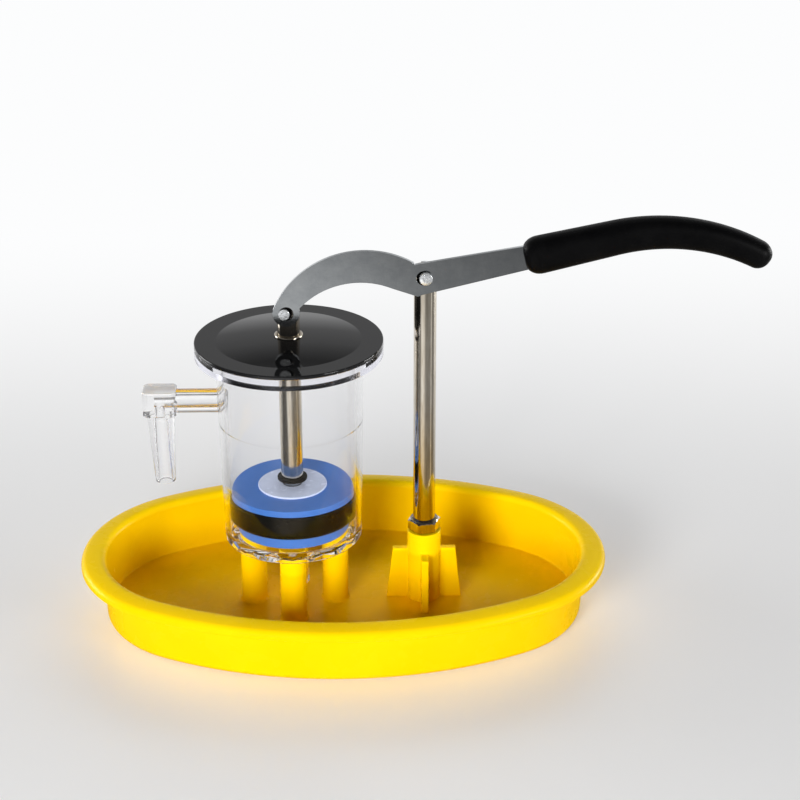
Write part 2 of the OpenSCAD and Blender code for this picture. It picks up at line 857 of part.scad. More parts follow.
module lever_outline() {
    out_c = arc_centre(arch_end, arch_meet, arch_out_r);
    in_c = arc_centre(arch_in_start, arch_in_meet, arch_in_r);
    // Arch from the rod's end to where its lower edge straightens
    difference() {
        intersection() {
            translate(out_c) circle(r = arch_out_r, $fn = lever_fn);
            polygon([hole_c, hole_c + 2 * (arch_end - hole_c),
                     [hole_c.x - 2 * lever_end_r, 2 * lever_end_r],
                     [arch_in_meet.x, 2 * arch_out_r], [arch_in_meet.x, hole_c.y]]);
        }
        translate(in_c) circle(r = arch_in_r, $fn = lever_fn);
    }
    translate(hole_c) circle(r = lever_end_r);
    // Plate round the pivot
    intersection() {
        translate(out_c) circle(r = arch_out_r, $fn = lever_fn);
        polygon(concat([[arch_in_meet.x, 2 * arch_out_r], arch_in_meet], hub_low,
                       [hub_right, [arch_meet.x, arm_top.y], [arch_meet.x, 2 * arch_out_r]]));
    }
    arm_outline(0);
}

// Arm that tapers to the grip, drawn wider by extra at its end
module arm_outline(extra) {
    half = (arm_end_half + extra) * across;
    polygon(concat([arm_root_low], hub_low, [arm_end_c - half, arm_end_c + half, arm_top, arm_root_top]));
}

// Slope and place of the grip's centre line at the distance s along it
function grip_angle(s) = grip_slope - max(0, s - grip_straight) / grip_bend_r * 180 / PI;
function grip_at(s) = s < grip_straight
    ? grip_start + s * along
    : bend_c + grip_bend_r * [-sin(grip_angle(s)), cos(grip_angle(s))];
function mix(a, b, t) = a + (b - a) * t;

// One side of the tang, from inside the arm to near the grip's end
function tang_side(side, extra) = [
    for (i = [0:tang_steps])
        let (s = -tang_lead + (grip_len - tang_short + extra + tang_lead) * i / tang_steps,
             a = grip_angle(s))
        grip_at(s) + side * (tang_half + extra) * [-sin(a), cos(a)]
];
module tang_outline(extra) {
    up = tang_side(1, extra);
    down = tang_side(-1, extra);
    polygon(concat(up, [for (i = [tang_steps:-1:0]) down[i]]));
}

module lever_plate() {
    color(steel)
    upright(plate_back_y)
    difference() {
        union() {
            linear_extrude(lever_t) lever_outline();
            linear_extrude(lever_t) tang_outline(0);
        }
        hole(pivot_d + 2 * slide_gap, -cut, lever_t + cut);
        translate(hole_c) hole(pin_hole_d, -cut, lever_t + cut);
    }
}

// Rings of points round the grip's centre line, rounded at both ends
function quarter(t) = sqrt(max(0, 1 - t * t));
function grip_round(s) =
    s < grip_nose ? mix(grip_nose_share, 1, quarter(1 - s / grip_nose)) :
    s > grip_len - grip_tail ? max(grip_tip_share, quarter(1 - (grip_len - s) / grip_tail)) : 1;
function grip_station(i) =
    let (k = 90 / grip_end_steps, j = grip_rings - i)
    i < grip_end_steps ? grip_nose * (1 - cos(k * i)) :
    j < grip_end_steps ? grip_len - grip_tail * (1 - cos(k * j)) :
    mix(grip_nose, grip_len - grip_tail, (i - grip_end_steps) / (grip_rings - 2 * grip_end_steps));
function grip_ring(s) =
    let (a = grip_angle(s), t = s / grip_len, k = grip_round(s), c = grip_at(s),
         h = mix(grip_front_h, grip_rear_h, t) / 2 * k, w = mix(grip_front_w, grip_rear_w, t) / 2 * k)
    [for (j = [0:grip_sides - 1])
        let (b = 360 * j / grip_sides,
             n = sign(cos(b)) * pow(abs(cos(b)), 2 / grip_square) * h,
             y = sign(sin(b)) * pow(abs(sin(b)), 2 / grip_square) * w)
        [c.x - n * sin(a), c.y + n * cos(a), y]];

module lever_grip() {
    stations = [for (i = [0:grip_rings]) grip_station(i)];
    pts = [for (s = stations) each grip_ring(s)];
    n = grip_sides;
    last = grip_rings * n;
    faces = concat(
        [[for (j = [0:n - 1]) j]],
        [for (i = [0:grip_rings - 1]) for (j = [0:n - 1]) let (k = (j + 1) % n)
            each [[i * n + j, (i + 1) * n + j, (i + 1) * n + k], [i * n + j, (i + 1) * n + k, i * n + k]]],
        [[for (j = [n - 1:-1:0]) last + j]]
    );
    color(black)
    difference() {
        upright(plate_mid_y) polyhedron(pts, faces);
        upright(plate_back_y + fixed_gap) linear_extrude(lever_t + 2 * fixed_gap) {
            tang_outline(fixed_gap);
            arm_outline(fixed_gap);
        }
    }
}

module column_pivot_screw() {
    back = column_d / 2 + pivot_nut_h + pivot_thread_out;
    front = -plate_back_y + lever_t + slide_gap;
    color(steel)
    translate([column_x, 0, pivot_z]) rotate([90, 0, 0]) {
        hole(pivot_d, -back, front + cut);
        hole(pivot_head_d, front, front + pivot_head_h);
    }
}

module column_pivot_washer() {
    color(black)
    translate([column_x, 0, pivot_z]) rotate([90, 0, 0])
        ring(pivot_d + 2 * pivot_washer_w, pivot_d + 2 * fixed_gap,
             column_d / 2, -plate_back_y - pivot_washer_play);
}

module column_pivot_nut() {
    color(steel)
    translate([column_x, column_d / 2 + pivot_nut_h, pivot_z]) rotate([90, 0, 0])
        hex_nut(pivot_d + pivot_nut_over, pivot_nut_h, pivot_d + 2 * fixed_gap);
}

tray();
cylinder_posts();
post_screws();
column_socket();
column_tube();
column_lock_nut();
column_base_nut();
column_base_washer();
cylinder_barrel();
inlet_nozzle();
foot_valve_disc();
lid();
lid_bush();
spout_pipe();
spout_elbow();
spout_nozzle();
piston_rod();
rod_pin();
rod_stud();
valve_stop_washer();
valve_spacer();
piston_valve_disc();
piston_top_plate();
piston_seal();
piston_lower_plate();
piston_washer();
piston_nut();
lever_plate();
lever_grip();
column_pivot_screw();
column_pivot_washer();
column_pivot_nut();
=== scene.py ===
"""The look of the hand pump demonstrator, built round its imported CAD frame.

Shapes are drawn in millimetres. The frame, the materials' coordinates and the stage are in metres.
"""

import json
import math
import random

import bmesh
import bpy
from mathutils import Matrix, Vector

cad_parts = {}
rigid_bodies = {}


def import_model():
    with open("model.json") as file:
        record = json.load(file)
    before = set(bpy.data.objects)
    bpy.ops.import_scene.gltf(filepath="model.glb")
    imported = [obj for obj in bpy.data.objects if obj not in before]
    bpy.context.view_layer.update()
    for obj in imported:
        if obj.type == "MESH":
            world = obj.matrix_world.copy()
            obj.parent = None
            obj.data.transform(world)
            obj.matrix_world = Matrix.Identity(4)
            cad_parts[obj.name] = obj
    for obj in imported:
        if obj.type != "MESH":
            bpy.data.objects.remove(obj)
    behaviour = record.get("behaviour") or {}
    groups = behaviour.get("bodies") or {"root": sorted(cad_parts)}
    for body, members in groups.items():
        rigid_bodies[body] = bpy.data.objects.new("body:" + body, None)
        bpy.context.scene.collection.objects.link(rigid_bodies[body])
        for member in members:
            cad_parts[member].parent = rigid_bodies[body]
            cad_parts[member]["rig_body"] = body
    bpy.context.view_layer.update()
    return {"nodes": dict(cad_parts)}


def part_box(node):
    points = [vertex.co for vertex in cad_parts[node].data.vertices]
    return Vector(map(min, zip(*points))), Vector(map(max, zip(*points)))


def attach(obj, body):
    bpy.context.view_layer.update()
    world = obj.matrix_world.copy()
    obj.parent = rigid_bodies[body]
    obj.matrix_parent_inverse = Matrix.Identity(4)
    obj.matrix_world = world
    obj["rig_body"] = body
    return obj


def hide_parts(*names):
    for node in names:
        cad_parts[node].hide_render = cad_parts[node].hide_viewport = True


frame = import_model()
NODES = frame["nodes"]
MM = 0.001
rng = random.Random(7)


def span(node, axis="z"):
    """Lowest and highest value of a CAD node along an axis, in millimetres."""
    low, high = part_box(node)
    return getattr(low, axis) / MM, getattr(high, axis) / MM


def middle(node, axis):
    return sum(span(node, axis)) / 2


# The upright axes of the cylinder and of the column
CYL_X = middle("lid", "x")
COLUMN_X = middle("column_tube", "x")

# ---------------------------------------------------------------- materials


class Nodes:
    """A node tree with a few procedural helpers."""

    def __init__(self, tree):
        self.tree = tree

    def node(self, kind, **settings):
        n = self.tree.nodes.new(kind)
        for key, value in settings.items():
            setattr(n, key, value)
        return n

    def link(self, a, b):
        self.tree.links.new(a, b)

    def feed(self, source, socket):
        """A socket gets its value from an output, or is set to a number."""
        if isinstance(source, bpy.types.NodeSocket):
            self.link(source, socket)
        else:
            socket.default_value = source

    def math(self, operation, *operands):
        n = self.node("ShaderNodeMath", operation=operation)
        for operand, socket in zip(operands, n.inputs):
            self.feed(operand, socket)
        return n.outputs["Value"]

    def parts(self, vector):
        """The outputs X, Y and Z of a vector."""
        n = self.node("ShaderNodeSeparateXYZ")
        self.link(vector, n.inputs["Vector"])
        return n.outputs

    def length(self, vector):
        n = self.node("ShaderNodeVectorMath", operation="LENGTH")
        self.link(vector, n.inputs[0])
        return n.outputs["Value"]

    def value(self, source, low, high, between=(0.3, 0.7), smooth=False):
        """A source turned into a number that goes from low to high between two of its values."""
        kind = "SMOOTHSTEP" if smooth else "LINEAR"
        n = self.node("ShaderNodeMapRange", interpolation_type=kind)
        for key, v in zip(("From Min", "From Max", "To Min", "To Max"), (*between, low, high)):
            n.inputs[key].default_value = v
        self.link(source, n.inputs["Value"])
        return n.outputs["Result"]

    def ramp(self, source, stops):
        """Colours at positions along a source."""
        n = self.node("ShaderNodeValToRGB")
        points = n.color_ramp.elements
        while len(points) < len(stops):
            points.new(0.5)
        for point, (where, colour) in zip(points, stops):
            point.position = where
            point.color = (*colour, 1)
        self.link(source, n.inputs["Fac"])
        return n.outputs["Color"]

    def grey_ramp(self, source, stops):
        return self.ramp(source, [(where, (grey, grey, grey)) for where, grey in stops])

    def mix(self, share, a, b, colours=False):
        """The number or colour a, with a share of b."""
        n = self.node("ShaderNodeMix", data_type="RGBA" if colours else "FLOAT")
        first, second, result = (6, 7, 2) if colours else (2, 3, 0)
        self.link(share, n.inputs[0])
        self.feed(a, n.inputs[first])
        self.feed(b, n.inputs[second])
        return n.outputs[result]

    def mix_shaders(self, share, a, b):
        n = self.node("ShaderNodeMixShader")
        for output, socket in zip((share, a, b), n.inputs):
            self.link(output, socket)
        return n.outputs["Shader"]


class Mat(Nodes):
    """A node material with one Principled shader, whose sockets the keywords set."""

    def __init__(self, name, **values):
        self.mat = bpy.data.materials.new(name)
        self.mat.use_nodes = True
        super().__init__(self.mat.node_tree)
        self.shader = self.tree.nodes["Principled BSDF"]
        self.out = self.tree.nodes["Material Output"]
        self.coords = self.node("ShaderNodeTexCoord").outputs["Object"]
        for key, value in values.items():
            self.shader.inputs[key.replace("_", " ")].default_value = value

    def scaled(self, stretch):
        """Object coordinates, in millimetres, times a stretch along each axis."""
        m = self.node("ShaderNodeMapping")
        m.inputs["Scale"].default_value = [s / MM for s in stretch]
        self.link(self.coords, m.inputs["Vector"])
        return m.outputs["Vector"]

    def from_axis(self, x):
        """Each point's distance, in metres, from the upright axis at x millimetres."""
        n = self.node("ShaderNodeVectorMath", operation="MULTIPLY_ADD")
        n.inputs[1].default_value = (1, 1, 0)
        n.inputs[2].default_value = (-x * MM, 0, 0)
        self.link(self.coords, n.inputs[0])
        return self.length(n.outputs["Vector"])

    def noise(self, size, detail=3.0, rough=0.55, stretch=(1, 1, 1)):
        """Noise with features about size millimetres across."""
        n = self.node("ShaderNodeTexNoise")
        n.inputs["Scale"].default_value = 1 / size
        n.inputs["Detail"].default_value = detail
        n.inputs["Roughness"].default_value = rough
        self.link(self.scaled(stretch), n.inputs["Vector"])
        return n.outputs["Fac"]

    def spots(self, size, stretch):
        """Distance to scattered points about size millimetres apart."""
        n = self.node("ShaderNodeTexVoronoi")
        n.inputs["Scale"].default_value = 1 / size
        self.link(self.scaled(stretch), n.inputs["Vector"])
        return n.outputs["Distance"]

    def colour(self, source, low, high, between=(0.3, 0.7)):
        tint = self.ramp(source, [(between[0], low), (between[1], high)])
        self.link(tint, self.shader.inputs["Base Color"])

    def roughness(self, source, low, high, between=(0.3, 0.7)):
        self.link(self.value(source, low, high, between), self.shader.inputs["Roughness"])

    def bump(self, *layers):
        """Bump from (source, height in millimetres) layers."""
        normal = None
        for source, height in layers:
            n = self.node("ShaderNodeBump")
            n.inputs["Distance"].default_value = height * MM
            n.inputs["Strength"].default_value = 1
            self.link(source, n.inputs["Height"])
            if normal:
                self.link(normal, n.inputs["Normal"])
            normal = n.outputs["Normal"]
        self.link(normal, self.shader.inputs["Normal"])

    def lets_lamps_through(self, tint):
        """The plastic casts no dark shadow, only a tint on what lamps light through it."""
        shadow = self.node("ShaderNodeLightPath").outputs["Is Shadow Ray"]
        clear = self.node("ShaderNodeBsdfTransparent")
        clear.inputs["Color"].default_value = (*tint, 1)
        look = self.mix_shaders(shadow, self.shader.outputs["BSDF"], clear.outputs["BSDF"])
        self.link(look, self.out.inputs["Surface"])


def yellow_plastic():
    m = Mat("yellow_plastic", IOR=1.5, Specular_IOR_Level=0.11, Specular_Tint=(1, 0.88, 0.3, 1))
    clouds = m.noise(38, 2)
    plain = m.ramp(clouds, [(0.3, (0.865, 0.530, 0.000)), (0.7, (0.890, 0.555, 0.001))])
    # The yellow is paler from the height of the rim's crest up: painted light on the crest
    crest = m.ramp(clouds, [(0.3, (0.970, 0.640, 0.001)), (0.7, (0.990, 0.665, 0.002))])
    crest_light_share = m.value(m.parts(m.coords)["Z"], 0, 1, (28.5 * MM, 30.5 * MM))
    m.link(m.mix(crest_light_share, plain, crest, colours=True), m.shader.inputs["Base Color"])
    m.roughness(m.noise(16, 4), 0.22, 0.32)
    m.bump((m.noise(9, 2), 0.010), (m.noise(1.6, 2), 0.0012))
    return m.mat


def clear_plastic():
    """The clear plastic of the cylinder, bluer in its flange, which is seen through its width."""
    m = Mat("clear_plastic", IOR=1.40, Transmission_Weight=1, Specular_Tint=(0.45, 0.45, 0.45, 1))
    flange = (37 * MM, 40.5 * MM)
    m.colour(m.from_axis(CYL_X), (0.978, 0.979, 0.986), (0.87, 0.87, 0.965), flange)
    m.roughness(m.noise(9, 3), 0.0, 0.03)
    m.bump((m.noise(14, 1), 0.012))
    m.lets_lamps_through((0.93, 0.935, 0.95))
    return m.mat


def clear_cemented():
    """The clear plastic of the spout, a little milky where its block is cemented."""
    m = Mat("clear_cemented", IOR=1.46, Specular_Tint=(0.6, 0.6, 0.6, 1))
    m.shader.inputs["Base Color"].default_value = (0.97, 0.97, 0.975, 1)
    place = m.parts(m.coords)
    left_of_pipe = m.value(place["X"], 1, 0, (-73.5 * MM, -71.5 * MM))
    over_nozzle = m.value(place["Z"], 0, 1, (98 * MM, 101 * MM))
    block = m.math("MULTIPLY", left_of_pipe, over_nozzle)
    m.roughness(block, 0.01, 0.08, (0, 1))
    block_top = m.value(place["Z"], 0.97, 0.35, (111 * MM, 111.4 * MM))
    m.link(block_top, m.shader.inputs["Transmission Weight"])
    m.bump((m.noise(6, 2), 0.02), (m.noise(1.2, 2), 0.002))
    m.lets_lamps_through((0.93, 0.935, 0.94))
    return m.mat


def black_gloss():
    m = Mat("black_gloss", IOR=1.5)
    m.colour(m.noise(12, 3), (0.005, 0.005, 0.0055), (0.008, 0.008, 0.0085))
    m.roughness(m.noise(7, 4), 0.03, 0.06)
    m.bump((m.noise(11, 2), 0.008))
    return m.mat


def nickel():
    """Plated tube and rod, with streaks along it and small pits."""
    m = Mat("nickel", Metallic=1)
    streaks = m.noise(1.1, 4, stretch=(1, 1, 0.12))
    m.colour(streaks, (0.58, 0.515, 0.42), (0.70, 0.64, 0.545), (0.35, 0.65))
    m.roughness(m.noise(2.2, 4, stretch=(1, 1, 0.3)), 0.06, 0.12)
    pits = m.grey_ramp(m.spots(1.3, (1, 1, 0.8)), [(0.0, 0), (0.16, 1)])
    m.bump((m.noise(1.6, 3, stretch=(1, 1, 0.2)), 0.004), (pits, 0.006))
    return m.mat


def zinc_steel():
    """Plated sheet steel, with fine scratches along the lever."""
    m = Mat("zinc_steel", Metallic=1)
    m.colour(m.noise(7, 6, 0.65), (0.40, 0.42, 0.435), (0.49, 0.51, 0.52), (0.32, 0.68))
    m.roughness(m.noise(3, 5, 0.7), 0.11, 0.17)
    scratches = m.noise(0.35, 3, stretch=(0.06, 1, 1))
    m.bump((m.noise(0.7, 3), 0.004), (scratches, 0.002), (m.noise(5, 2), 0.01))
    return m.mat


def bright_zinc():
    """Screws and nuts, with the uneven faces of small plated parts."""
    m = Mat("bright_zinc", Metallic=0.8)
    m.colour(m.noise(1.5, 4), (0.84, 0.87, 0.90), (0.93, 0.95, 0.97))
    m.roughness(m.noise(0.8, 3), 0.12, 0.26)
    m.bump((m.noise(1.3, 1), 0.16), (m.noise(0.5, 2), 0.01))
    return m.mat


def black_rubber():
    m = Mat("black_rubber", Specular_IOR_Level=0.08)
    m.colour(m.noise(6, 4), (0.0015, 0.0015, 0.0015), (0.003, 0.003, 0.003))
    m.roughness(m.noise(3, 3), 0.26, 0.36)
    m.bump((m.noise(0.7, 3), 0.003))
    return m.mat


def grip_black():
    m = Mat("grip_black", Specular_IOR_Level=0.08)
    m.colour(m.noise(10, 3), (0.0012, 0.0012, 0.0014), (0.0025, 0.0025, 0.0027))
    m.roughness(m.noise(4, 3), 0.36, 0.48)
    m.bump((m.noise(0.45, 3, 0.6), 0.010), (m.noise(5, 2), 0.02))
    return m.mat


def blue_plastic():
    m = Mat("blue_plastic")
    m.colour(m.noise(14, 3), (0.042, 0.150, 0.465), (0.049, 0.165, 0.50))
    m.roughness(m.noise(3, 4), 0.30, 0.42)
    m.bump((m.noise(0.8, 3), 0.003))
    return m.mat


def valve_film():
    m = Mat("valve_film")
    m.colour(m.noise(8, 3), (0.53, 0.59, 0.75), (0.60, 0.66, 0.82))
    m.roughness(m.noise(3, 3), 0.18, 0.30)
    m.bump((m.noise(6, 2), 0.004))
    return m.mat


SURFACES = {
    "yellow_plastic": yellow_plastic(),
    "clear_plastic": clear_plastic(),
    "clear_cemented": clear_cemented(),
    "black_gloss": black_gloss(),
    "nickel": nickel(),
    "zinc_steel": zinc_steel(),
    "bright_zinc": bright_zinc(),
    "black_rubber": black_rubber(),
    "grip_black": grip_black(),
    "blue_plastic": blue_plastic(),
    "valve_film": valve_film(),
}

# ---------------------------------------------------------------- mesh tools

FACING_CAMERA = Matrix.Rotation(math.radians(90), 4, "X")
WELD = 1e-4


def at(x, y=0.0, z=0.0):
    return Matrix.Translation((x, y, z))


def rounded(points, steps=5):
    """A closed outline of (x, y, radius) corners, with each corner rounded."""
    straight = math.radians(89)
    out = []
    for i, (x, y, r) in enumerate(points):
        p = Vector((x, y))
        if r <= 0:
            out.append(p)
            continue
        before, after = Vector(points[i - 1][:2]), Vector(points[(i + 1) % len(points)][:2])
        u, v = (before - p).normalized(), (after - p).normalized()
        half = u.angle(v) / 2
        if half > straight:
            out.append(p)
            continue
        centre = p + (u + v).normalized() * (r / math.sin(half))
        start = p + u * (r / math.tan(half)) - centre
        turn = math.pi - 2 * half
        sign = -1 if u.x * v.y - u.y * v.x > 0 else 1
        for k in range(steps + 1):
            s = sign * turn * k / steps
            c, d = math.cos(s), math.sin(s)
            out.append(centre + Vector((start.x * c - start.y * d, start.x * d + start.y * c)))
    return [(p.x, p.y) for p in out]


def disc_outline(r_in, r_out, z0, z1, edge):
    """The outline of a flat ring or disc with rounded edges."""
    inner = edge if r_in > 0 else 0
    corners = [(r_in, z0, inner), (r_out, z0, edge), (r_out, z1, edge), (r_in, z1, inner)]
    return rounded(corners, 4)


def held(points, closed=True, near=0.2):
    """The same outline with points beside its corners, so that long faces keep true normals."""
    out = []
    last = len(points) if closed else len(points) - 1
    for i in range(last):
        p, q = Vector(points[i]), Vector(points[(i + 1) % len(points)])
        out.append((p.x, p.y))
        step = q - p
        if step.length > 5 * near:
            for beside in (p + step.normalized() * near, q - step.normalized() * near):
                out.append((beside.x, beside.y))
    return out if closed else out + [tuple(points[-1])]


def ring(bm, radii, z, place):
    """Vertices round the local Z axis, one for each radius."""
    angles = [2 * math.pi * k / len(radii) for k in range(len(radii))]
    return [
        bm.verts.new(place @ Vector((r * math.cos(a), r * math.sin(a), z)))
        for r, a in zip(radii, angles)
    ]


def skin(bm, rings):
    """Faces from each ring of vertices to the next. A ring may be one vertex many times."""
    for a, b in zip(rings, rings[1:]):
        for k in range(len(a)):
            m = (k + 1) % len(a)
            corners = list(dict.fromkeys([a[k], a[m], b[m], b[k]]))
            if len(corners) > 2:
                bm.faces.new(corners)


def turned(bm, outline, segments, place=Matrix.Identity(4)):
    """A closed (radius, height) outline turned about the local Z axis."""
    rings = []
    for r, z in held(outline):
        if r < 1e-6:
            rings.append([bm.verts.new(place @ Vector((0, 0, z)))] * segments)
        else:
            rings.append(ring(bm, [r] * segments, z, place))
    skin(bm, rings + rings[:1])


def finish_mesh(name, bm, surface, body, replaced=(), sharp=32, slot=None):
    """A piece from a bmesh drawn in millimetres."""
    bmesh.ops.remove_doubles(bm, verts=bm.verts, dist=WELD)
    bmesh.ops.recalc_face_normals(bm, faces=bm.faces)
    bmesh.ops.scale(bm, vec=(MM, MM, MM), verts=bm.verts)
    mesh = bpy.data.meshes.new(name)
    bm.to_mesh(mesh)
    bm.free()
    mesh.shade_smooth()
    mesh.set_sharp_from_angle(angle=math.radians(sharp))
    mesh.materials.append(SURFACES[surface])
    obj = bpy.data.objects.new(name, mesh)
    bpy.context.scene.collection.objects.link(obj)
    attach(obj, body)
    if replaced:
        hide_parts(*replaced)
    return obj


def lathe(name, outline, segments, place, *finish, **more):
    """A turned piece, with what finish_mesh asks for after the bmesh."""
    bm = bmesh.new()
    turned(bm, outline, segments, place)
    finish_mesh(name, bm, *finish, **more)


def refined(node, name, surface, edge, segments):
    """A piece with a CAD node's own shape, its flat faces joined up and its edges rounded."""
    source = NODES[node]
    bm = bmesh.new()
    bm.from_mesh(source.data)
    bmesh.ops.scale(bm, vec=(1 / MM,) * 3, verts=bm.verts)
    bmesh.ops.remove_doubles(bm, verts=bm.verts, dist=10 * WELD)
    flat = math.radians(0.5)
    bmesh.ops.dissolve_limit(bm, angle_limit=flat, verts=bm.verts, edges=bm.edges, delimit=set())
    obj = finish_mesh(name, bm, surface, source["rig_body"], (node,))
    bevel = obj.modifiers.new("edges", "BEVEL")
    bevel.width = edge * MM
    bevel.segments = segments
    bevel.limit_method = "ANGLE"
    bevel.angle_limit = math.radians(34)
    bevel.harden_normals = True
    bevel.use_clamp_overlap = True
    return obj


# ---------------------------------------------------------------- basin

# The oval is made of two end arcs and two side arcs, which meet at END_ANGLE
HALF_LEN, HALF_WID, END_R = 120.3, 77.0, 63.0
END_X = HALF_LEN - END_R
SIDE_R = (END_X**2 + HALF_WID**2 - END_R**2) / (2 * (HALF_WID - END_R))
SIDE_Y = SIDE_R - HALF_WID
END_ANGLE = math.atan2(SIDE_Y, END_X)
# Heights of the panel over the table, of the floor's top and of the rim's top
PANEL_Z, FLOOR_Z, RIM_Z = 3.2, 5.0, 31.2
RIBS_X, RIB_T = (-62, 0, 62), 2.0


def oval(inset, steps=72):
    """Points round the basin's outline, inset from the rim's edge."""
    points = []
    for cx, cy, r, a0, a1 in (
        (END_X, 0, END_R, -END_ANGLE, END_ANGLE),
        (0, -SIDE_Y, SIDE_R, END_ANGLE, math.pi - END_ANGLE),
        (-END_X, 0, END_R, math.pi - END_ANGLE, math.pi + END_ANGLE),
        (0, SIDE_Y, SIDE_R, math.pi + END_ANGLE, 2 * math.pi - END_ANGLE),
    ):
        for k in range(steps):
            a = a0 + (a1 - a0) * k / steps
            points.append((cx + (r - inset) * math.cos(a), cy + (r - inset) * math.sin(a)))
    return points


def half_width(x, inset):
    """Half the width of the inset oval at x."""
    if abs(x) > END_X:
        return math.sqrt((END_R - inset) ** 2 - (abs(x) - END_X) ** 2)
    return math.sqrt((SIDE_R - inset) ** 2 - x * x) - SIDE_Y


def arc(cx, cz, r, a0, a1, n):
    """Points on an arc between two angles in degrees."""
    angles = [math.radians(a0 + (a1 - a0) * k / n) for k in range(n + 1)]
    return [(cx + r * math.cos(a), cz + r * math.sin(a)) for a in angles]


def basin():
    # Radii of the rim's crown, of its crest over the wall and of its outer edge
    crown_r, crest_r, edge_r = 30.0, 3.0, 3.2
    # The wall's inset at its top and its foot, and the foot ring's inner inset
    wall_top, wall_low, foot_in = 9.5, 10.5, 17.5
    wall_t, lip_t = 2.0, 2.4
    foot_r, under_r, floor_r, trim_r = 4.0, 1.6, 0.7, 0.35
    crest_u = wall_top + wall_t - crest_r
    tilt = math.degrees(math.asin((crest_u - edge_r) / (crown_r - edge_r)))
    edge_z = RIM_Z - crown_r + (crown_r - edge_r) * math.cos(math.radians(tilt))
    under_z = RIM_Z - lip_t - 0.2
    lip_z = edge_z - 0.2
    # From the foot ring's inside, up the outside and over the rim, down to the floor
    profile = (
        [(-foot_in, PANEL_Z), (-foot_in, trim_r), (-foot_in + trim_r, 0)]
        + arc(-wall_low - foot_r, foot_r, foot_r, -90, 0, 12)
        + [(-wall_top + 0.2442, under_z - 1.6165)]
        + arc(-wall_top + 1.5, under_z - under_r, under_r, 180, 90, 6)
        + arc(-edge_r, edge_z, edge_r - lip_t, 90 - tilt, 0, 5)
        + arc(-lip_t + trim_r, lip_z - trim_r, trim_r, 180, 270, 3)
        + arc(-trim_r, lip_z - trim_r, trim_r, -90, 0, 3)
        + arc(-edge_r, edge_z, edge_r, 0, 90 - tilt, 14)
        + arc(-crest_u, RIM_Z - crown_r, crown_r, 90 - tilt, 90, 8)[1:]
        + arc(-crest_u, RIM_Z - crest_r, crest_r, 90, 180, 10)[1:]
        + arc(-wall_low - wall_t - floor_r, FLOOR_Z + floor_r, floor_r, 0, -90, 8)
    )
    bm = bmesh.new()
    rings = [
        [bm.verts.new((x, y, z)) for x, y in oval(-u)] for u, z in held(profile, closed=False)
    ]
    skin(bm, rings)
    bm.faces.new(rings[-1])
    bm.faces.new(list(reversed(rings[0])))
    # The ribs stand on the table and reach a little into the panel
    rib_h = PANEL_Z + 0.4
    for x in RIBS_X:
        rib = bmesh.ops.create_cube(bm, size=1)["verts"]
        bmesh.ops.scale(bm, vec=(RIB_T, 2 * half_width(x, foot_in), rib_h), verts=rib)
        bmesh.ops.translate(bm, vec=(x, 0, rib_h / 2), verts=rib)
    finish_mesh("basin", bm, "yellow_plastic", "base", ("tray",), 40)


def posts():
    low, high = span("cylinder_posts")
    from_axis, bore_r, foot_r, post_r = 18.7, 1.7, 6.6, 5.95
    # A short foot flares out over the floor
    outline = rounded(
        [
            (bore_r, low, 0), (foot_r, low, 0), (post_r + 0.07, low + 0.9, 1.4),
            (post_r, high, 0.25), (bore_r, high, 0),
        ]
    )
    bm = bmesh.new()
    for k in range(4):
        a = math.pi / 2 * k
        turned(bm, outline, 64, at(CYL_X + from_axis * math.cos(a), from_axis * math.sin(a)))
    finish_mesh("tower_posts", bm, "yellow_plastic", "base", ("cylinder_posts",))


# ---------------------------------------------------------------- clear cylinder

# The flange's top, where the lid lies, the lid's outer ring and the crest of its raised middle
FLANGE_TOP, LID_TOP, DOME_TOP = 133.3, 134.8, 136.7
FLANGE_R = 41.5


